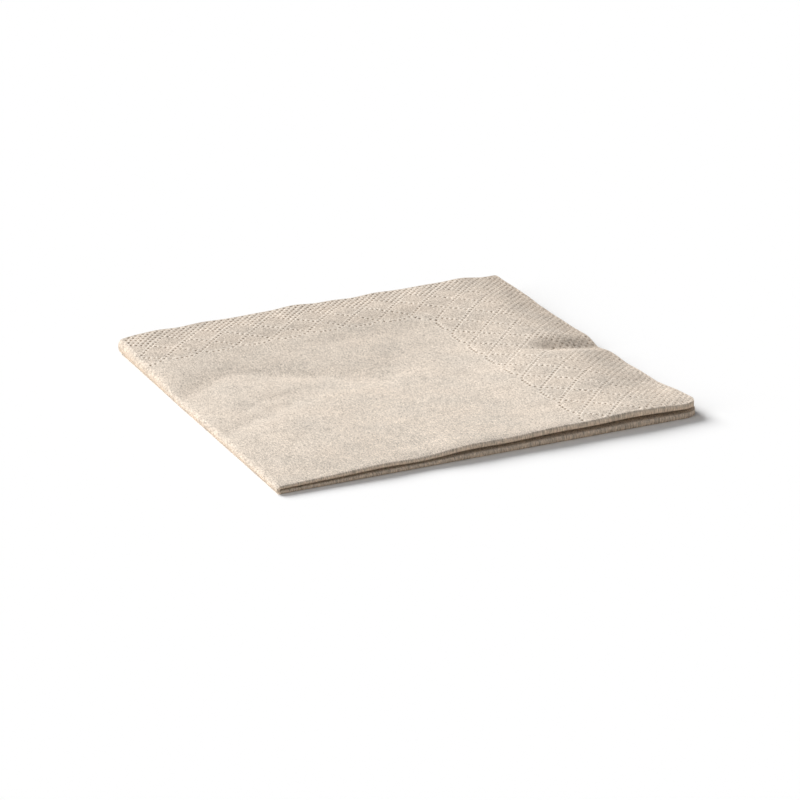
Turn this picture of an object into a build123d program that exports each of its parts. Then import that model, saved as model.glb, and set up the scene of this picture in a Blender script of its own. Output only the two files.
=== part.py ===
"""Paper napkin: one square sheet of soft two-ply tissue, folded in half twice.

The folded napkin lies flat. X runs along the first fold, Y from that fold to the open edges,
and Z up. The origin is at the middle of the underside. The first fold lies along the front
(-Y), and its two leaves are then wrapped together round the second fold on the left (-X).
All four corners of the sheet meet at the open corner (+X, +Y).
"""
import os

from build123d import *

# Driving dimensions, in millimetres
folded_side = 120.0  # half of the open sheet, along X and along Y alike
sheet_thickness = 0.32  # both plies, at the loft that the pressed dots leave
leaf_gap = 0.30  # air between the two leaves of the first fold
half_gap = 0.45  # air between the two halves that the second fold brings together
leaf_setback = 0.5  # the outer leaf stops short of the inner one at the back
half_setback = 0.7  # the upper half stops short of the lower one on the right

# The pressed border: dots in rows that cross as diamonds, and a scalloped inner edge
dot_step = 1.08  # from one dot to the next in its row, along X and along Y alike
steps_per_diamond = 5  # dots from one crossing to the next
first_crossing_from_back = 10.6  # a crossing, measured from the outer leaf's back edge
first_crossing_from_right = 5.1  # the same crossing, measured from its right edge
rows_to_inner_back = 2  # half diamonds from that crossing to the border's inner edge
rows_to_inner_right = 5
scallop_sag = 2.0  # how far each scallop hangs below the crossings that hold it
dot_width_share = 0.62  # of the step between dots
dot_depth_share = 0.5  # of the sheet's thickness

# Levels of the upper half, above the middle plane between the halves
inner_leaf_low = half_gap / 2
inner_leaf_high = inner_leaf_low + sheet_thickness
outer_leaf_low = inner_leaf_high + leaf_gap
outer_leaf_high = outer_leaf_low + sheet_thickness
fold_level = (inner_leaf_high + outer_leaf_low) / 2

# Where the folds start to bend and where the leaves end
first_fold_y = -folded_side / 2 + leaf_gap / 2 + sheet_thickness
second_fold_x = -folded_side / 2 + outer_leaf_high
inner_leaf_back = folded_side / 2
outer_leaf_back = inner_leaf_back - leaf_setback
lower_half_right = folded_side / 2
upper_half_right = lower_half_right - half_setback

# Border sizes that follow from the dots
half_diamond = steps_per_diamond * dot_step
diamond = 2 * half_diamond
crossing_x = upper_half_right - first_crossing_from_right
crossing_y = outer_leaf_back - first_crossing_from_back
inner_edge_x = crossing_x - rows_to_inner_right * half_diamond
inner_edge_y = crossing_y - rows_to_inner_back * half_diamond
dot_half_width = dot_width_share * dot_step / 2
dot_depth = dot_depth_share * sheet_thickness


def hairpin():
    """The first fold's section: two leaves joined by a round bend at the front."""
    with BuildSketch(Plane.YZ) as section:
        with BuildLine():
            outer_bend = first_fold_y - (outer_leaf_high - fold_level)
            inner_bend = first_fold_y - (outer_leaf_low - fold_level)
            Line((inner_leaf_back, inner_leaf_low), (first_fold_y, inner_leaf_low))
            ThreePointArc(
                (first_fold_y, inner_leaf_low),
                (outer_bend, fold_level),
                (first_fold_y, outer_leaf_high),
            )
            Polyline(
                (first_fold_y, outer_leaf_high),
                (outer_leaf_back, outer_leaf_high),
                (outer_leaf_back, outer_leaf_low),
                (first_fold_y, outer_leaf_low),
            )
            ThreePointArc(
                (first_fold_y, outer_leaf_low),
                (inner_bend, fold_level),
                (first_fold_y, inner_leaf_high),
            )
            Polyline(
                (first_fold_y, inner_leaf_high),
                (inner_leaf_back, inner_leaf_high),
                (inner_leaf_back, inner_leaf_low),
            )
        make_face()
    return section.sketch.face()


def folded_sheet():
    """The hairpin run flat, wrapped half a turn round the second fold, and run flat again."""
    section = Pos(second_fold_x, 0, 0) * hairpin()
    upper_half = extrude(section, upper_half_right - second_fold_x, dir=(1, 0, 0))
    lower_half = extrude(section.mirror(Plane.XY), lower_half_right - second_fold_x, dir=(1, 0, 0))
    second_fold = revolve(section, Axis((second_fold_x, 0, 0), (0, -1, 0)), 180)
    return Pos(0, 0, outer_leaf_high) * (upper_half + lower_half + second_fold).solid()


def diamond_dots():
    """Every dot of the crossing rows that the border holds, as X and Y."""
    columns = int(folded_side / dot_step)
    dots = []
    for i in range(-columns, columns):
        for j in range(-columns, columns):
            rising = (i - j) % (2 * steps_per_diamond) == 0
            falling = (i + j) % (2 * steps_per_diamond) == 0
            x = crossing_x + i * dot_step
            y = crossing_y + j * dot_step
            in_border = x > inner_edge_x - dot_step / 2 or y > inner_edge_y - dot_step / 2
            if (rising or falling) and in_border:
                dots.append((x, y))
    return dots


def inner_crossings():
    """The crossings along the border's inner edge, from the left fold round to the front fold."""
    count = int(folded_side / diamond) + 1
    back_start = inner_edge_x - half_diamond
    right_start = inner_edge_y - half_diamond
    along_back = [(back_start - k * diamond, inner_edge_y) for k in range(count)]
    along_right = [(inner_edge_x, right_start - k * diamond) for k in range(count)]
    return along_back[::-1] + along_right


def scallop_dots():
    """The dots of the shallow arcs that hang between neighbouring inner crossings."""
    dots = []
    crossings = inner_crossings()
    for start, end in zip(crossings, crossings[1:]):
        chord = Vector(*end) - Vector(*start)
        inward = Vector(chord.Y, -chord.X).normalized() * scallop_sag
        count = round(chord.length / (dot_step * 2**0.5))
        for k in range(1, count):
            along = k / count
            dots.append(Vector(*start) + chord * along + inward * 4 * along * (1 - along))
    return [(dot.X, dot.Y) for dot in dots]


def press_dots(sheet):
    """Press every dot into the top leaf as a four-sided pit, and close the skin round them."""
    top = sheet.faces().sort_by(Axis.Z)[-1]
    bounds = top.bounding_box()
    level = bounds.max.Z
    rims = []
    walls = []
    for x, y in diamond_dots() + scallop_dots():
        clear_in_x = bounds.min.X + dot_step < x < bounds.max.X - dot_step
        clear_in_y = bounds.min.Y + dot_step < y < bounds.max.Y - dot_step
        if not (clear_in_x and clear_in_y):
            continue
        corners = [(-1, -1), (1, -1), (1, 1), (-1, 1)]
        rim = [Vector(x + a * dot_half_width, y + b * dot_half_width, level) for a, b in corners]
        tip = Vector(x, y, level - dot_depth)
        rims.append(Wire.make_polygon(rim, close=True))
        for start, end in zip(rim, rim[1:] + rim[:1]):
            walls.append(Face(Wire.make_polygon([start, end, tip], close=True)))
    skin = Face(top.outer_wire(), rims)
    others = [face for face in sheet.faces() if not face.is_same(top)]
    return Solid(Shell([skin] + others + walls))


napkin = press_dots(folded_sheet())
napkin.label = "napkin"

os.makedirs("parts", exist_ok=True)
export_step(napkin, "parts/napkin.step")
box = napkin.bounding_box()
print("napkin", box.min, box.max, "volume", round(napkin.volume, 1), "faces", len(napkin.faces()))
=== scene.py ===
# %% [markdown]
# A folded paper napkin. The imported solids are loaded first, because everything that is made
# here has to sit where they sit: the frame gives the folded side and the height of the stack of
# leaves, and the soft sheet below is measured from them.

import bmesh
import bpy
import numpy as np
from mathutils import Matrix, Vector


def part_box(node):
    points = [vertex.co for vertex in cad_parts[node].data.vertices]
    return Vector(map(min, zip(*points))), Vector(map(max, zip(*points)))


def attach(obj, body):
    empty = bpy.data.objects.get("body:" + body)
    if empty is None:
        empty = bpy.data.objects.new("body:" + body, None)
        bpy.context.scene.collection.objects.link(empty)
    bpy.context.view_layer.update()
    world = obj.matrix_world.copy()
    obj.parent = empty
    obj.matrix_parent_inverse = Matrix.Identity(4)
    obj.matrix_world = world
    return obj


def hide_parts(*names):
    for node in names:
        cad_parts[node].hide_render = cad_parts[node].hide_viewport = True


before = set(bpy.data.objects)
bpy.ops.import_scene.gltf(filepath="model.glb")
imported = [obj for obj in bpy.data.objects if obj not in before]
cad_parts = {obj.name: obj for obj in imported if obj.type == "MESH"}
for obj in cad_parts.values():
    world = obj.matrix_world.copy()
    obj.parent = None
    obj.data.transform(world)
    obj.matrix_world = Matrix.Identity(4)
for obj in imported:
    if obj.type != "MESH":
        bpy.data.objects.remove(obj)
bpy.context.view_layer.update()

low, high = (np.array(corner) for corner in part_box("napkin"))
side = high[0] - low[0]
height = high[2] - low[2]
mm = 0.001
print("folded side", round(side / mm, 2), "mm, height", round(height / mm, 2), "mm")

# %% [markdown]
# The camera comes before the object, so that every later step can be compared with the
# photograph. It is a long lens held low, about 20 degrees above the table. Its place is given by
# the point it looks at on the napkin's face, the two angles and the distance, which is easier to
# reason about than a bare position. The focal length was read in pixels of the 800 pixel frame.

# %% The camera
frame_px = 800
focal_px = 2717.8
camera_azimuth = -24.05
camera_elevation = 20.09
camera_roll = -1.22
camera_distance_share = 6.008
look_at_share = np.array([-0.0649, -0.1503])


def direction(azimuth, elevation):
    """Unit vector from the object towards a viewer, azimuth 0 being the front."""
    a, e = np.radians([azimuth, elevation])
    return Vector((np.sin(a) * np.cos(e), -np.cos(a) * np.cos(e), np.sin(e)))


camera_data = bpy.data.cameras.new("camera")
camera_data.lens = focal_px / frame_px * camera_data.sensor_width
camera = bpy.data.objects.new("camera", camera_data)
bpy.context.scene.collection.objects.link(camera)
back = direction(camera_azimuth, camera_elevation)
look_at = Vector((*(look_at_share * side), high[2]))
roll = Matrix.Rotation(np.radians(camera_roll), 3, "Z").to_quaternion()
turn = back.to_track_quat("Z", "Y") @ roll
camera.matrix_world = Matrix.LocRotScale(look_at + back * camera_distance_share * side, turn, None)
bpy.context.scene.camera = camera
print("lens", round(camera_data.lens, 1), "mm at", [round(x, 3) for x in camera.location])

# %% [markdown]
# The real napkin is one square sheet of two-ply tissue, 240 mm each way, folded in half twice.
# It could be made as four flat sheets, or as a cloth simulation of the folding. Four sheets have
# no folds, and a simulation won't give a machine's tight crease. So the open sheet is laid out
# flat, with a along the first fold and b across it, and every point is carried through both
# folds by one formula. The sizes below are those of the solid that it stands for.

# %% The sheet's sizes
thickness = 0.32 * mm
leaf_gap = 0.30 * mm
half_gap = 0.45 * mm
leaf_setback = 0.5 * mm
half_setback = 0.7 * mm

first_radius = (leaf_gap + thickness) / 2
fold_level = half_gap / 2 + thickness + leaf_gap / 2
first_fold_y = low[1] + leaf_gap / 2 + thickness
second_fold_x = low[0] + height / 2
middle = low[2] + height / 2
first_bend = first_radius * np.pi / 2
second_bend = fold_level * np.pi / 2

upper_right = high[0] - half_setback
outer_back = high[1] - leaf_setback
a_ends = (second_fold_x - high[0] - second_bend, upper_right - second_fold_x + second_bend)
b_ends = (first_fold_y - high[1] - first_bend, outer_back - first_fold_y + first_bend)
print("open sheet", [round((e[1] - e[0]) / mm, 1) for e in (a_ends, b_ends)], "mm")


# %% Both folds in one formula
def folded(a, b, out):
    """The folded place of the open sheet's point (a, b), out metres above its middle surface.

    First fold: round the crease the leaf turns on a small circle, by b over its radius, and past
    it runs straight back. Second fold: the level that this gives becomes the radius of a larger
    turn, by a over the fold's level, and past it both leaves run straight to the right.
    """
    bend = np.clip(b / first_radius, -np.pi / 2, np.pi / 2)
    y = first_fold_y - (first_radius + out) * np.cos(bend) + np.maximum(np.abs(b) - first_bend, 0)
    level = fold_level + (first_radius + out) * np.sin(bend)
    turn = np.clip(a / fold_level, -np.pi / 2, np.pi / 2)
    x = second_fold_x - level * np.cos(turn) + np.maximum(np.abs(a) - second_bend, 0)
    return np.stack([x, y, middle + level * np.sin(turn)], axis=-1)


open_corner = folded(a_ends[1], b_ends[1], 0)
print("open corner of the top leaf at", (open_corner / mm).round(1), "mm")

# %% [markdown]
# The border is knurled: steel points press the two plies together in rows that cross as
# diamonds, with a scalloped edge inside and a closely dotted field outside. The rows' and the
# field's points lie on one lattice, so a formula can say how deep any place is pressed: turn the
# lattice by 45 degrees, round to the nearest point, and ask whether that point lies on a row or
# in the field. A picture of dots could be wrapped on instead, but it would blur close by.

# %% The knurled border
dot_step = 1.08 * mm
steps_per_diamond = 5
half_diamond = steps_per_diamond * dot_step
crossing_x = upper_right - 5.1 * mm
crossing_y = outer_back - 10.6 * mm
inner_x = crossing_x - 5 * half_diamond
inner_y = crossing_y - 2 * half_diamond
field_x = crossing_x - 1.5 * half_diamond
field_y = crossing_y + 0.5 * half_diamond
third = dot_step / 3
print("diamonds", round(2 * half_diamond / mm, 1), "mm across")


def lattice(x, y):
    """Places in steps along both diagonals, (m, n), which are whole numbers on a dot."""
    i, j = (x - crossing_x) / dot_step, (y - crossing_y) / dot_step
    return (i + j) / 2, (i - j) / 2


def lattice_place(m, n):
    """Where the lattice's point (m, n) lies: the sum and difference of its steps, turned back."""
    return crossing_x + (m + n) * dot_step, crossing_y + (m - n) * dot_step


def border_holds(x, y):
    """Whether a dot at (x, y) lies inside the border."""
    return (x > inner_x - third) | (y > inner_y - third)


def field_holds(m, n):
    """Whether the diamond round the lattice's point (m, n) belongs to the closely dotted field."""
    diamond_m, diamond_n = np.floor(m / steps_per_diamond), np.floor(n / steps_per_diamond)
    x = crossing_x + (diamond_m + diamond_n + 1) * half_diamond
    y = crossing_y + (diamond_m - diamond_n) * half_diamond
    return (x > field_x) | (y > field_y)


# %% The scalloped edge
scallop_sag = 2.0 * mm


def scallop_dots():
    """Dots of the arcs between the border's inner crossings, each moved to a grid line.

    A point at share s of the straight line between two crossings is moved inwards by the sag
    times 4 s (1 - s), which is a parabola that hangs from both crossings.
    """
    count = int(side / (2 * half_diamond)) + 2
    k = np.arange(count)[:, None]
    along_back = np.array([inner_x - half_diamond, inner_y]) - k * [2 * half_diamond, 0]
    along_right = np.array([inner_x, inner_y - half_diamond]) - k * [0, 2 * half_diamond]
    path = np.concatenate([along_back[::-1], along_right])
    start, chord = path[:-1], np.diff(path, axis=0)
    length = np.linalg.norm(chord, axis=1)
    inward = np.stack([chord[:, 1], -chord[:, 0]], axis=1) / length[:, None]
    steps = np.round(length / (dot_step * 2**0.5)).astype(int)
    s = np.concatenate([np.arange(1, n) / n for n in steps])[:, None]
    piece = np.repeat(np.arange(len(steps)), steps - 1)
    places = start[piece] + chord[piece] * s + inward[piece] * scallop_sag * 4 * s * (1 - s)
    anchor = np.array([crossing_x, crossing_y])
    return anchor + np.round((places - anchor) / third) * third


scallops = scallop_dots()
print("scallop dots", len(scallops))

# %% [markdown]
# No two dots of a real border are alike: the points wear, and soft tissue gives way in patches.
# So each dot has its own strength, worked out from its column and row, and a dot's section is a
# round pit with a low raised ring, because the tissue that a point pushes down comes up beside
# it. Strengths are shares of one dot depth.

# %% How deep each dot goes
dot_radius = 0.46 * mm
dot_depth = 0.27 * mm
ring_radius = 0.66 * mm
ring_width = 0.20 * mm
ring_share = 0.36
row_strength = 0.55
row_spread = 0.55
field_strength = 0.20
field_spread = 0.45
field_patches = 0.4
right_field_share = 0.55
back_share = 1.35


def scatter(i, j):
    """A steady pseudo-random number from 0 to 1 for each pair of whole numbers."""
    value = np.sin(i * 12.9898 + j * 78.233) * 43758.5453
    return value - np.floor(value)


def patches(i, j):
    """Slow waves from 0 to 1 over the columns and rows, bent so that they don't look regular."""
    return 0.5 + 0.5 * np.sin(i * 0.31 + 1.7 * np.sin(j * 0.23)) * np.sin(j * 0.37 + 0.8)


def dimple(distance):
    """The dot's section: 1 at its middle, 0 at its radius, and a low raised ring round it."""
    ring = np.exp(-(((distance - ring_radius) / ring_width) ** 2))
    return np.clip(1 - (distance / dot_radius) ** 2, 0, 1) ** 1.5 - ring_share * ring


def dot_strength(m, n):
    """How strongly the lattice's dot (m, n) is pressed, and 0 where there is no dot."""
    x, y = lattice_place(m, n)
    on_row = (m % steps_per_diamond == 0) | (n % steps_per_diamond == 0)
    clear = (x < upper_right - dot_radius) & (y < outer_back - dot_radius)
    uneven = scatter(m + n, m - n)
    in_field = field_strength + field_spread * uneven + field_patches * patches(m + n, m - n)
    strength = np.where(on_row, row_strength + row_spread * uneven, in_field)
    strength = strength * (border_holds(x, y) & clear & (on_row | field_holds(m, n)))
    strength = strength * np.where(x > field_x, right_field_share, 1)
    return strength * np.where(y > crossing_y - half_diamond, back_share, 1)


print("dots up to", round((row_strength + row_spread) * back_share * dot_depth / mm, 2), "mm deep")

# %% [markdown]
# The whole border is also pressed down a little, most where the dots are closest, and the
# tissue swells between the rows as a cushion does between its seams. The press is kept as a
# number for each point, because the colour needs it too: the colour is darker where the press is
# deeper, which is partly painted shade over the border and painted shade at its back and along
# its right edge.

# %% The pressed border
# The beds also darken the colour through the press: at the back and along the right edge this is
# painted shade, elsewhere partly the pressed tissue's tone and partly painted shade.
border_bed = 0.06
back_bed_and_shade = 0.04
field_bed = 0.05
edge_bed_and_shade = 0.10
edge_width = 8 * mm
edge_start_share = -0.2
edge_full_share = -0.1
scallop_strength = 0.8
scallop_bed = 0.14
deepest = 1.1
pillow_height = 0.07 * mm


def smooth(value, start, end):
    """0 before start, 1 after end, and an S curve between."""
    t = np.clip((value - start) / (end - start), 0, 1)
    return t * t * (3 - 2 * t)


def pressed(x, y):
    """How deep the top leaf is pressed at (x, y), as a share of the dot depth.

    It is the nearest dot's section times its strength, plus the beds that the border, its
    field and its right edge are pressed down by, plus the nearest scallop dot's section, and
    never more than the deepest press.
    """
    m, n = np.round(lattice(x, y))
    dot_x, dot_y = lattice_place(m, n)
    depth = dimple(np.hypot(x - dot_x, y - dot_y)) * dot_strength(m, n)
    # The back's bed is painted shade in the colour more than a press in the surface.
    bed = border_bed + back_bed_and_shade * (dot_y > inner_y) + field_bed * field_holds(m, n)
    depth = depth + bed * border_holds(dot_x, dot_y)
    near = (x > inner_x - 3 * scallop_sag) | (y > inner_y - 3 * scallop_sag)
    apart = np.hypot(x[near, None] - scallops[:, 0], y[near, None] - scallops[:, 1]).min(axis=1)
    scallop = scallop_strength * dimple(apart) + scallop_bed * np.exp(-((apart / ring_radius) ** 2))
    depth[near] = depth[near] + scallop
    along_edge = smooth(y, edge_start_share * side, edge_full_share * side)
    # The right edge's bed paints shade along the edge, and presses the surface only a little.
    depth = depth + edge_bed_and_shade * smooth(x, upper_right - edge_width, upper_right) * along_edge
    return np.minimum(depth, deepest)


def pillow(x, y):
    """How far the tissue swells between the rows: 0 on a row and 1 in a diamond's middle.

    The distance from the nearest row, 0 to 1, gives a quarter of a sine both ways, and the two
    are multiplied.
    """
    m, n = lattice(x, y)
    from_row = [abs(c / steps_per_diamond - np.round(c / steps_per_diamond)) * 2 for c in (m, n)]
    rise = np.sin(np.pi / 2 * from_row[0]) * np.sin(np.pi / 2 * from_row[1])
    return rise * border_holds(*lattice_place(np.round(m), np.round(n)))


crossing = np.array([[crossing_x], [crossing_y]])
print("a crossing is pressed", (pressed(*crossing) * dot_depth / mm).round(2)[0], "mm deep")

# %% [markdown]
# A machine-folded napkin is never flat: air stays between its leaves, the folds spring, and
# handling leaves dents and creases. The lift says how far each place of the top leaf stands
# above its flat level, and the leaves below follow by their share of the height, so that no
# leaf can pass through another. It is the sum of the functions below, each for one part of the
# top face. In all of them u is the share of the folded side from the left fold to the right edge
# and v that from the front fold to the back, both from 0 to 1. Heights and depths are named and
# in millimetres, and the numbers beside them say between which shares u and v a part reaches.

# %% Curves that the soft form is made of
def between(value, start, full, fading, end):
    """0 outside start and end, 1 from full to fading, and an S curve on either side."""
    return smooth(value, start, full) * (1 - smooth(value, fading, end))


def hump(value, top, width):
    """A bell curve: 1 at the top, and about a third at one width from it."""
    return np.exp(-(((value - top) / width) ** 2))


def valley(distance, behind, ahead):
    """A sharp crease: 1 on the line, fading behind it and ahead of it over two lengths."""
    return np.exp(-np.maximum(distance, 0) / behind) * np.exp(np.minimum(distance, 0) / ahead)


def wave(turns, phase):
    """A sine that makes one wave for each whole turn and starts at the phase."""
    return np.sin(2 * np.pi * turns + phase)


# %% Air under the top leaf
middle_air = 0.45
end_air = 0.52
pocket_air = 1.1
front_right_air = 0.9
front_middle_air = 0.55
front_edge_dip = 0.35


def air(u, v):
    """The air that lifts the leaf from the left fold on, in millimetres.

    The leaf is held down midway along the fold and rises at both of its ends, over a width that
    is wide in front and narrow at the back. A pocket of air stands left of the middle, and two
    more stand along the front fold, whose edge itself lies lower.
    """
    held_midway = middle_air + end_air * (2 * v - 1) ** 2
    rising = smooth(u, -0.06 - 0.25 * smooth(v, 0.6, 1.0), 0.42 - 0.30 * v)
    pocket = pocket_air * hump(u, 0.32, 0.22) * hump(v, 0.57, 0.24)
    front_right = front_right_air * smooth(u, 0.5, 0.95) * np.exp(-v / 0.12)
    front_middle = front_middle_air * smooth(u, 0.3, 0.45) * (1 - smooth(v, 0.0, 0.5))
    front_edge = -front_edge_dip * smooth(u, 0.1, 0.4) * (1 - smooth(v, 0.0, 0.035))
    return held_midway * rising + pocket + front_right + front_middle + front_edge


# %% Beside the left fold
shoulder_height = 0.55
dent_depth = 0.5
ridge_height = 0.7


def left_fold(u, v):
    """A shoulder beside the left fold, a dent in front of it and a rounded ridge behind."""
    narrowing = smooth(u, -0.01, 0.08) * (1 - 0.6 * smooth(u, 0.08, 0.5))
    shoulder = shoulder_height * narrowing * between(v, -0.05, 0.25, 0.30, 0.62)
    dent = -dent_depth * between(u, -0.08, 0.10, 0.28, 0.45) * (1 - smooth(v, -0.1, 0.45))
    ridge = ridge_height * between(u, -0.03, 0.06, 0.08, 0.25) * smooth(v, 0.45, 0.75)
    return shoulder + dent + ridge


# %% The border that stands up
first_step = 0.45
second_step = 0.35
back_slope = 1.45
back_curl = 0.2
back_tip = 0.10
right_crest = 2.3
right_fall = 1.3


def raised_border(u, v):
    """How far the stiff border stands up at the back and on the right, in millimetres.

    The back rises slowly towards its edge, with a step just before the scallops and another
    behind it, and its last stretch curls up. The right side rises to a crest inside the edge,
    which is lower in front and at the back corner, and it falls again beyond the crest.
    """
    steps = first_step * smooth(v, 0.735, 0.805) + second_step * between(v, 0.79, 0.87, 0.87, 1.0)
    steps = steps * smooth(u, 0.10, 0.25) * (1 - 0.6 * smooth(u, 0.70, 0.85))
    slope = back_slope * smooth(u, -0.2, 0.2) * smooth(v, 0.5, 1.1)
    curl = back_curl * smooth(u, 0.0, 0.25) * np.exp((v - 1) / 0.12)
    tip = back_tip * smooth(u, 0.1, 0.5) * np.exp((v - 1) / 0.07)
    crest = right_crest * smooth(u, 0.60, 0.90) - right_fall * smooth(u, 0.90, 1.0)
    crest = crest * (0.3 + 0.7 * smooth(v, 0.0, 0.42)) * (1 - 0.55 * smooth(v, 0.7, 1.0))
    return steps + slope + curl + tip + crest


# %% The creases beside the left fold
long_crease = 1.6
broad_crease = 0.50
short_crease = 0.60
arched_crease = 0.55
long_sides = (0.07, 0.09)
broad_sides = (0.07, 0.12)
crisp_sides = (0.022, 0.03)
long_turn = 0.165
long_turn_radius = 0.05


def left_creases(u, v):
    """Four creases near the left fold, in millimetres.

    Each has a line, which gives its v for every u, a depth that comes and goes along it, and a
    valley whose two lengths say how soft its sides are. The long one bends where its line turns
    round a small arc. A broad one runs back to the right beside it, and two short ones lie in
    front of it.
    """
    long_line = 0.668 - 0.75 * (np.hypot(u - long_turn, long_turn_radius) - long_turn_radius)
    deeper = 1 + 0.5 * smooth(u, 0.15, 0.3)
    long_depth = long_crease * deeper * between(u, -0.10, 0.10, 0.30, 0.55)
    broad_line = 0.493 + 1.67 * (u - 0.467)
    broad_depth = broad_crease * between(v, 0.44, 0.50, 0.60, 0.78)
    short_line = 0.326 + 0.466 * u
    short_depth = short_crease * between(u, -0.05, 0.06, 0.18, 0.33)
    arched_line = 0.482 - 2.3 * (u - 0.24) ** 2
    arched_depth = arched_crease * between(u, 0.05, 0.12, 0.2, 0.36)
    depth = long_depth * valley(v - long_line, *long_sides)
    depth = depth + broad_depth * valley(v - broad_line, *broad_sides)
    depth = depth + short_depth * valley(v - short_line, *crisp_sides)
    return -depth - arched_depth * valley(v - arched_line, *crisp_sides)


# %% The creases across the right border
deep_crease = 2.3
deep_crease_rise = 0.5
bottom_radius = 0.012
behind_length = 0.054
behind_power = 1.9
ahead_length = 0.020
sag_depth = 0.7
shallow_crease = 0.48
shallow_sides = (0.05, 0.03)
border_dents = ((0.4, 0.33, 0.06), (0.45, 0.30, 0.09), (0.6, 0.2, 0.13))
droop_depth = 0.7


def border_creases(u, v):
    """The deep crease across the right border and what sinks in front of it, in millimetres.

    The deep one is steep in front and falls to its line over a longer curve behind. Its bottom
    is rounded, because a leaf can't turn on a knife's edge. In front of it the border sags, has
    three broad dents, each with its depth, its place v and its width, holds a shallow crease
    and droops towards the corner.
    """
    line = 0.480 - 0.12 * (u - 0.851)
    deepening = smooth(u, 0.80, 0.90)
    apart = np.hypot(v - line, bottom_radius) - bottom_radius
    behind = np.clip(1 - apart / behind_length, 0, 1) ** behind_power
    ahead = np.exp(-apart / ahead_length)
    depth = deep_crease - deep_crease_rise * smooth(u, 0.93, 1.0)
    deep = depth * deepening * np.where(v > line, behind, ahead)
    sag = sag_depth * deepening * smooth(line - v, 0.0, 0.03) * smooth(v, 0.04, 0.16)
    shallow_line = 0.205 - 0.2 * (u - 0.9)
    shallow = shallow_crease * smooth(u, 0.84, 0.98) * valley(v - shallow_line, *shallow_sides)
    dents = sum(dent * hump(v, place, width) for dent, place, width in border_dents)
    droop = droop_depth * smooth(u, 0.78, 1.0) * (1 - smooth(v, 0.02, 0.15))
    return -deep - sag - shallow - dents * smooth(u, 0.84, 1.0) - droop


# %% Slow waves
fuller_left_height = 0.2
edge_wave_height = 0.16
edge_wave_length = 0.05
fold_wave_height = 0.22
fold_wave_length = 0.07


def swell(u, v):
    """Slow waves over the whole face, along the back edge and along the front fold.

    The face's waves cross at four slants, and fade out at the left and front folds. The edge's
    and the fold's waves run along them, and die away over a short length across them.
    """
    broad = 0.20 * wave(1.3 * u + 0.4 * v, 0.6) + 0.16 * wave(0.5 * u - 1.7 * v, 2.1)
    fine = 0.07 * wave(3.1 * u + 1.3 * v, 4.0) + 0.05 * wave(5.3 * v - 2.2 * u, 0.0)
    face = (broad + fine) * smooth(u, 0.0, 0.15) * smooth(v, 0.0, 0.12)
    fuller_left = fuller_left_height * smooth(u, 0.0, 0.15) * (1 + wave(u, -0.77))
    edge_waves = edge_wave_height * (wave(4.7 * u, 1.0) + 0.7 * wave(8.9 * u, 2.0))
    edge_waves = edge_waves * np.exp((v - 1) / edge_wave_length) * smooth(u, 0.0, 0.1)
    fold_waves = fold_wave_height * (wave(2.2 * u, -0.9) + 0.6 * wave(5.1 * u, 0.0))
    return face + fuller_left + edge_waves + fold_waves * np.exp(-v / fold_wave_length)


# %% The lift of the top leaf
def lift(u, v):
    """Height of the top leaf above its flat level, in metres: the sum of the parts above."""
    u, v = np.clip(u, 0, 1), np.clip(v, 0, 1)
    parts = (air, left_fold, raised_border, left_creases, border_creases, swell)
    return mm * sum(part(u, v) for part in parts)


share_u, share_v = np.meshgrid(np.linspace(0, 1, 101), np.linspace(0, 1, 101))
sampled = lift(share_u, share_v) / mm
print("lift from", round(sampled.min(), 2), "to", round(sampled.max(), 2), "mm")

# %% [markdown]
# Loose leaves don't lie at even distances, and cut corners that are handled lose their points.
# So the leaves part unevenly by less than their gaps, the upper ones slide back a little, and
# the two loose corners are drawn in to arcs, the front one more than the back one.

# %% The loose leaves
parting_height = 0.09 * mm
slide = 0.35 * mm
back_corner_radius = 2.4 * mm
front_corner_radius = 5.0 * mm


def rounded(place, corner, radius):
    """Draw the points near a corner inwards, so that the corner becomes an arc.

    Each of a point's two distances from the arc's centre, in radii, is multiplied by the root of
    one less half the other's square, which takes the square corner to the circle.
    """
    heading = np.sign(corner - low[:2] - side / 2)
    centre = corner - heading * radius
    away = (place[:, :2] - centre) * heading / radius
    inside = (away > 0).all(axis=1)
    near = away[inside]
    near = near * np.sqrt(np.maximum(1 - near[:, ::-1] ** 2 / 2, 0))
    place[inside, :2] = centre + near * heading * radius


def settled(place, share):
    """Lift each point by its share, part the leaves, slide them back and round the corners.

    The parting is a slow wave over the face that is shifted from leaf to leaf. It is multiplied
    by 4 share (1 - share), which is 0 for the lowest and the highest surface and 1 midway.
    """
    u, v = (place[:, 0] - low[0]) / side, (place[:, 1] - low[1]) / side
    result = place.copy()
    parting = parting_height * wave(1.7 * u + 0.6 * v + 1.3 * share, 0) * 4 * share * (1 - share)
    result[:, 2] += share * lift(u, v) + parting * smooth(u, 0.0, 0.3) * smooth(v, 0.0, 0.3)
    result[:, 1] += slide * share * u * v
    rounded(result, high[:2], back_corner_radius)
    rounded(result, np.array([high[0], low[1]]), front_corner_radius)
    return result


# %% [markdown]
# The mesh starts as the open sheet: an outer and an inner skin on the same lines, closed by a
# rim. Its lines lie closer in the folds. Where the border faces up, each cell of the outer skin
# is divided by six, so that three lines run to every step between dots. Underneath, where the
# border is seldom seen, each is divided by four, and the rest stays coarse.

# %% The mesh
cell = 2 * dot_step
cells_below_anchor = 80
cells_above_anchor = 20
bend_lines = 8
least_cell_share = 0.3


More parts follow.
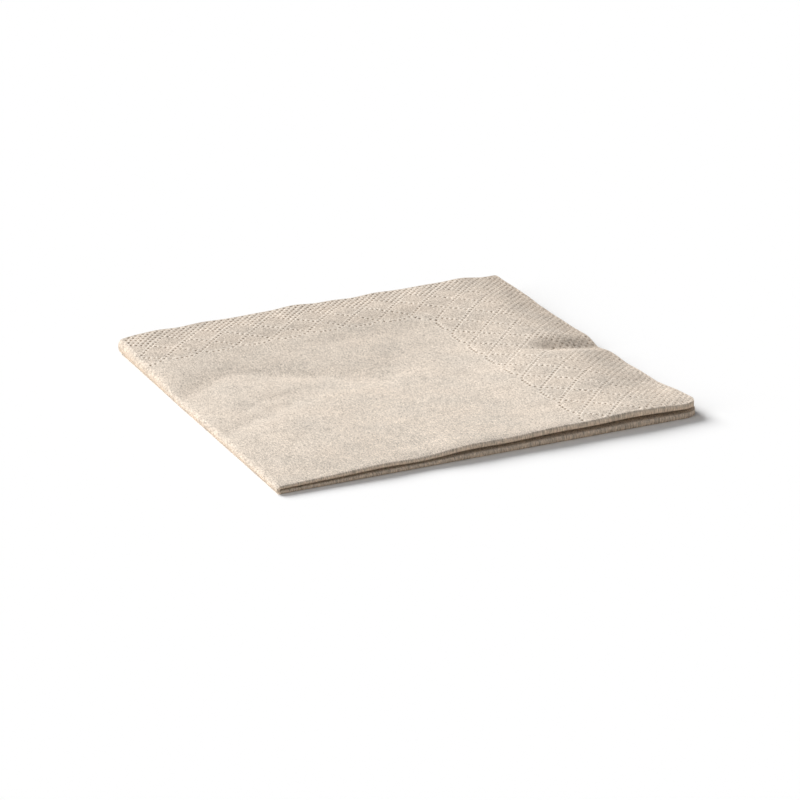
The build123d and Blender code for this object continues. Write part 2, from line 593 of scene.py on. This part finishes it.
def grid_lines(ends, bend, anchor):
    """Line places over one direction: whole cells counted from the anchor, closer in the bend.

    Below the bend the lines are those above it mirrored, so that both halves share their dots.
    """
    least = least_cell_share * cell
    beyond = anchor + cell * np.arange(-cells_below_anchor, cells_above_anchor)
    beyond = beyond[beyond > bend + least]
    upper = beyond[beyond < ends[1] - least]
    lower = -beyond[-beyond > ends[0] + least][::-1]
    bent = np.linspace(-bend, bend, bend_lines + 1)
    return np.concatenate([[ends[0]], lower, bent, upper, [ends[1]]])


a_lines = grid_lines(a_ends, second_bend, crossing_x - second_fold_x + second_bend)
b_lines = grid_lines(b_ends, first_bend, crossing_y - first_fold_y + first_bend)
columns, rows = len(a_lines), len(b_lines)
print("open sheet grid", columns, "by", rows)

# %% Two skins and a rim
a_grid, b_grid = np.meshgrid(a_lines, b_lines, indexing="ij")
index = np.arange(columns * rows).reshape(columns, rows)
corners = [index[:-1, :-1], index[1:, :-1], index[1:, 1:], index[:-1, 1:]]
outer = np.stack(corners, axis=-1)
inner = outer[..., ::-1] + columns * rows
edge = np.concatenate([index[:, 0], index[-1, 1:], index[-2::-1, -1], index[0, -2:0:-1]])
edge_next = np.roll(edge, -1)
rim = np.stack([edge_next, edge, edge + columns * rows, edge_next + columns * rows], axis=-1)
flat = np.stack([a_grid.ravel(), b_grid.ravel()], axis=-1)
skins = np.concatenate([np.insert(flat, 2, 1, axis=1), np.insert(flat, 2, -1, axis=1)])
napkin_mesh = bpy.data.meshes.new("napkin_sheet")
faces = np.concatenate([outer.reshape(-1, 4), inner.reshape(-1, 4), rim])
napkin_mesh.from_pydata(skins.tolist(), [], faces.tolist())
print("coarse faces", len(napkin_mesh.polygons))

# %% Closer lines where the dots are
upper_cuts = 5
under_cuts = 3
reach = scallop_sag + dot_radius + cell / 2
a_middle, b_middle = (a_lines[:-1] + a_lines[1:]) / 2, (b_lines[:-1] + b_lines[1:]) / 2
near_right = abs(a_middle) - second_bend + second_fold_x > inner_x - reach
near_back = b_middle - first_bend + first_fold_y > inner_y - reach
dotted = (near_right[:, None] | near_back[None, :]) & (b_middle > first_bend)[None, :]
upper = dotted & (a_middle > second_bend)[:, None]
under = dotted & (a_middle < -second_bend)[:, None]

sheet = bmesh.new()
sheet.from_mesh(napkin_mesh)
sheet.faces.ensure_lookup_table()
upper_edges = {line for face in np.flatnonzero(upper.ravel()) for line in sheet.faces[face].edges}
under_edges = {line for face in np.flatnonzero(under.ravel()) for line in sheet.faces[face].edges}
for lines, cuts in ((upper_edges, upper_cuts), (under_edges, under_cuts)):
    bmesh.ops.subdivide_edges(sheet, edges=list(lines), cuts=cuts, use_grid_fill=True)
sheet.to_mesh(napkin_mesh)
sheet.free()
print("vertices", len(napkin_mesh.vertices))

# %% [markdown]
# Now the flat mesh is pressed, folded and settled, all as whole arrays. Both leaves that face
# outwards have the dots, the upper one and the one underneath, whose raised rings are left out
# because they would stand through the table. The open sheet's places and the press go along as
# attributes, so that the colour can follow the paper round its folds.

# %% Folding and pressing
sharp_angle = 60
count = len(napkin_mesh.vertices)
flat = np.empty(count * 3)
napkin_mesh.vertices.foreach_get("co", flat)
a, b, skin = flat.reshape(-1, 3).T
skin = np.where(skin > 0, 1.0, -1.0)

x_flat, y_flat = abs(a) - second_bend + second_fold_x, b - first_bend + first_fold_y
outside = (abs(a) > second_bend) & (b > first_bend) & (skin > 0)
press, swelling = np.zeros((2, count))
press[outside] = pressed(x_flat[outside], y_flat[outside])
swelling[outside] = pillow(x_flat[outside], y_flat[outside])
press = np.where(a > 0, press, np.maximum(press, 0))

out = skin * thickness / 2 - press * dot_depth + swelling * pillow_height * (a > 0)
centre = folded(a, b, np.zeros(count))
share = np.clip((centre[:, 2] - low[2] - thickness / 2) / (height - thickness), 0, 1)
place = settled(folded(a, b, out), share)
napkin_mesh.vertices.foreach_set("co", place.ravel())

open_sheet = napkin_mesh.attributes.new("open_sheet", "FLOAT_VECTOR", "POINT")
open_sheet.data.foreach_set("vector", np.stack([a, b, skin * thickness / 2], axis=-1).ravel())
press_data = napkin_mesh.attributes.new("press", "FLOAT", "POINT")
press_data.data.foreach_set("value", press)
napkin_mesh.update()
napkin_mesh.validate()
napkin_mesh.shade_smooth()
napkin_mesh.set_sharp_from_angle(angle=np.radians(sharp_angle))
napkin_mesh.calc_loop_triangles()
print("napkin triangles", len(napkin_mesh.loop_triangles), "deepest press", round(press.max(), 2))

# %% The napkin takes its place
napkin = bpy.data.objects.new("napkin_sheet", napkin_mesh)
bpy.context.scene.collection.objects.link(napkin)
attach(napkin, "root")
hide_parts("napkin")
open_size = (a_ends[1] - a_ends[0], b_ends[1] - b_ends[0])
print("napkin top at", round(place[:, 2].max() / mm, 2), "mm")

# %% [markdown]
# Shader maths reads best as sums, so a small class wraps a socket and turns the operators into
# Math nodes. Every other node is made by one method, which sets the node up and feeds it.

# %% Shader sums
class Wire:
    """A node's output that can stand in a sum."""

    def __init__(self, paint, socket):
        self.paint = paint
        self.socket = socket

    def _math(self, operation, first, second):
        return self.paint.node("ShaderNodeMath", {"operation": operation}, {0: first, 1: second})

    def __add__(self, other):
        return self._math("ADD", self, other)

    def __radd__(self, other):
        return self._math("ADD", other, self)

    def __sub__(self, other):
        return self._math("SUBTRACT", self, other)

    def __rsub__(self, other):
        return self._math("SUBTRACT", other, self)

    def __mul__(self, other):
        return self._math("MULTIPLY", self, other)

    def __rmul__(self, other):
        return self._math("MULTIPLY", other, self)


class Paint:
    """The node tree of a material or of the world."""

    def __init__(self, owner):
        owner.use_nodes = True
        self.tree = owner.node_tree
        self.tree.nodes.clear()

    def node(self, kind, settings=None, inputs=None, output=0):
        """Make a node, set it up, feed its sockets with values or wires, and give an output."""
        made = self.tree.nodes.new(kind)
        for name, value in (settings or {}).items():
            setattr(made, name, value)
        for name, value in (inputs or {}).items():
            if isinstance(value, Wire):
                self.tree.links.new(value.socket, made.inputs[name])
            else:
                made.inputs[name].default_value = value
        return Wire(self, made.outputs[output]) if len(made.outputs) else None

    def vector(self, operation, inputs):
        """A Vector Math node, for colours and places, which a Math node would turn grey."""
        return self.node("ShaderNodeVectorMath", {"operation": operation}, inputs)

    def attribute(self, name, output):
        """What the mesh carries under a name, read from one of the Attribute node's outputs."""
        settings = {"attribute_type": "GEOMETRY", "attribute_name": name}
        return self.node("ShaderNodeAttribute", settings, output=output)

    def noise(self, place, scale, detail=2.0, roughness=0.5):
        """Cloudy noise from 0 to 1 whose lumps are about 1 / scale metres wide."""
        values = {"Vector": place, "Scale": scale, "Detail": detail, "Roughness": roughness}
        return self.node("ShaderNodeTexNoise", {}, values)


# %% [markdown]
# The tissue is unbleached and recycled: a light warm beige, quite matt, cloudy where the fibres
# lie thicker, with a fine grain and a few darker fibres. It could be a picture of paper, but a
# picture repeats and blurs close by, and noise on the open sheet doesn't, and runs round the
# folds with the paper. Pressed places are painted darker and a little redder: partly the tone of
# pressed tissue, which lets more light through, and partly painted shade in the pits and over the
# pressed border. The dots' raised rings are painted lighter, which is a painted highlight.

# %% The tissue
tissue_colour = (0.737, 0.645, 0.549)
# Times the press, this darkens and reddens pressed places: partly the pressed tissue's tone, partly
# painted shade; below 0, on the dots' rings, it paints a highlight.
press_tone_and_shade = (0.92, 1.03, 1.12)
blotch_tint = (0.025, -0.005, -0.030)
tint_scale = 110
blotch_scale = 110
blotch_share = 0.26
cloud_scale = 260
cloud_share = 0.20
cloud_relief = 0.08
grain_scale = 2500
grain_share = 1.1
grain_relief = 0.10
fibre_scale = 4400
fibre_share = 1.5
fibre_relief = 0.07
fibre_squeeze = (1.0, 0.42, 1.0)
fleck_scale = 1500
fleck_start = 0.66
fleck_full = 0.74
fleck_share = 0.22
relief_depth = 1.0 * mm
tissue_roughness = 0.95
tissue_shine = 0.15


def tissue_material():
    """Beige matt tissue with clouds, grain and fibres in its colour and its surface.

    The light and dark of the paper is one plus the sum of four noises, each less its middle and
    times its share, less the flecks and the press. The press's share is partly the pressed
    tissue's own tone and partly painted shade, and on the dots' rings, where the press is below 0,
    it is a painted highlight. The tint adds red and takes blue in patches.
    """
    material = bpy.data.materials.new("beige_tissue")
    paint = Paint(material)
    sheet_place = paint.attribute("open_sheet", 1)
    press_depth = paint.attribute("press", 2)
    stretched = paint.vector("MULTIPLY", {0: sheet_place, 1: fibre_squeeze})

    blotches = paint.noise(sheet_place, blotch_scale, 3.0)
    clouds = paint.noise(sheet_place, cloud_scale, 3.0)
    grain = paint.noise(stretched, grain_scale, 3.0, 0.65)
    fibres = paint.noise(stretched, fibre_scale, 2.0, 0.6)
    fleck_range = {"From Min": fleck_start, "From Max": fleck_full}
    fleck_noise = {"Value": paint.noise(stretched, fleck_scale, 1.0)}
    smoothstep = {"interpolation_type": "SMOOTHSTEP"}
    flecks = paint.node("ShaderNodeMapRange", smoothstep, fleck_noise | fleck_range)

    mottle = blotch_share * (blotches - 0.5) + cloud_share * (clouds - 0.5)
    mottle = mottle + grain_share * (grain - 0.5) + fibre_share * (fibres - 0.5)
    light = 1 + mottle - fleck_share * flecks
    # Painted shade and tone where the tissue is pressed, and a painted highlight on the dots'
    # rings.
    darker = paint.vector("SCALE", {0: press_tone_and_shade, "Scale": press_depth})
    tint_patches = paint.noise(sheet_place, tint_scale, 0.0) - 0.5
    tint = paint.vector("SCALE", {0: blotch_tint, "Scale": tint_patches})
    shade = paint.vector("SUBTRACT", {0: light, 1: darker})
    tinted = paint.vector("ADD", {0: shade, 1: tint})
    colour = paint.vector("MULTIPLY", {0: tissue_colour, 1: tinted})

    relief = grain_relief * grain + fibre_relief * fibres + cloud_relief * clouds
    bump_values = {"Strength": 1.0, "Distance": relief_depth, "Height": relief}
    surface = {
        "Base Color": colour,
        "Roughness": tissue_roughness,
        "Specular IOR Level": tissue_shine,
        "Normal": paint.node("ShaderNodeBump", {}, bump_values),
    }
    shader = paint.node("ShaderNodeBsdfPrincipled", {}, surface)
    paint.node("ShaderNodeOutputMaterial", {}, {"Surface": shader})
    return material


napkin_mesh.materials.append(tissue_material())
print("tissue colour", tissue_colour)

# %% [markdown]
# The photograph has a white ground that keeps a soft grey shadow. The floor is pure white where
# the camera or a reflection sees it. For the light that it throws back it is a little warm,
# because the shaded front of the napkin looks warm.

# %% The floor
floor_reach = 3.0
white = (1, 1, 1, 1)
floor_bounce = (0.98, 0.87, 0.75, 1)


def plainly_seen(paint):
    """1 for what the camera sees, also in a mirror or through glass, and 0 for bounced light."""
    ray_kinds = ("Is Camera Ray", "Is Glossy Ray", "Is Transmission Ray")
    seen, mirrored, through = (paint.node("ShaderNodeLightPath", output=kind) for kind in ray_kinds)
    clamped_sum = {"operation": "ADD", "use_clamp": True}
    return paint.node("ShaderNodeMath", clamped_sum, {0: seen + mirrored, 1: through})


def floor_material():
    """White for the camera and for reflections, slightly warm for the light that bounces off."""
    material = bpy.data.materials.new("white_floor")
    paint = Paint(material)
    choice = {"Factor": plainly_seen(paint), 6: floor_bounce, 7: white}
    colour = paint.node("ShaderNodeMix", {"data_type": "RGBA"}, choice, output=2)
    surface = {"Base Color": colour, "Roughness": 1.0, "Specular IOR Level": 0.0}
    shader = paint.node("ShaderNodeBsdfPrincipled", {}, surface)
    paint.node("ShaderNodeOutputMaterial", {}, {"Surface": shader})
    return material


floor_mesh = bpy.data.meshes.new("floor")
floor_corners = np.array([(-1, -1, 0), (1, -1, 0), (1, 1, 0), (-1, 1, 0)]) * floor_reach
floor_corners = floor_corners + [0, 0, low[2]]
floor_mesh.from_pydata(floor_corners.tolist(), [], [(0, 1, 2, 3)])
floor_mesh.materials.append(floor_material())
floor = bpy.data.objects.new("floor", floor_mesh)
bpy.context.scene.collection.objects.link(floor)
print("floor at", round(low[2] / mm, 3), "mm")

# %% [markdown]
# The photograph is lit from behind: the napkin's front is dark and its shadow comes towards the
# camera. So a broad soft key lamp stands at the back, a little to the left and rather low, which
# brings out every crease, and a weaker one stands at the left. An even sky fills the rest.
# Together they light a level surface at 1, so that a colour renders as it is written.

# %% The light
sky_strength = 0.20
key_strength = 0.70
left_strength = 0.10
key_direction = Vector((-0.28, 0.79, 0.54))
left_direction = Vector((-0.90, -0.05, 0.43))
key_angle = 34
left_angle = 40


def soft_lamp(name, towards, strength, angle):
    """A sun lamp of a wide angle that gives a level surface its share of the light.

    Light that falls aslant spreads over more ground, so its energy is divided by the height of
    the unit vector towards the lamp, and pi turns what arrives into what a white surface shows.
    """
    heading = towards.normalized()
    data = bpy.data.lights.new(name, "SUN")
    data.energy = strength * np.pi / heading.z
    data.angle = np.radians(angle)
    lamp = bpy.data.objects.new(name, data)
    bpy.context.scene.collection.objects.link(lamp)
    lamp.matrix_world = heading.to_track_quat("Z", "Y").to_matrix().to_4x4()
    print(name, "lamp", round(data.energy, 2))


soft_lamp("key", key_direction, key_strength, key_angle)
soft_lamp("left", left_direction, left_strength, left_angle)

# %% The sky
world = bpy.data.worlds.new("studio")
bpy.context.scene.world = world
sky = Paint(world)
strength = sky_strength + (1 - sky_strength) * plainly_seen(sky)
background = sky.node("ShaderNodeBackground", {}, {"Color": white, "Strength": strength})
sky.node("ShaderNodeOutputWorld", {}, {"Surface": background})
bpy.context.scene.view_settings.view_transform = "Standard"
print("sky", sky_strength)
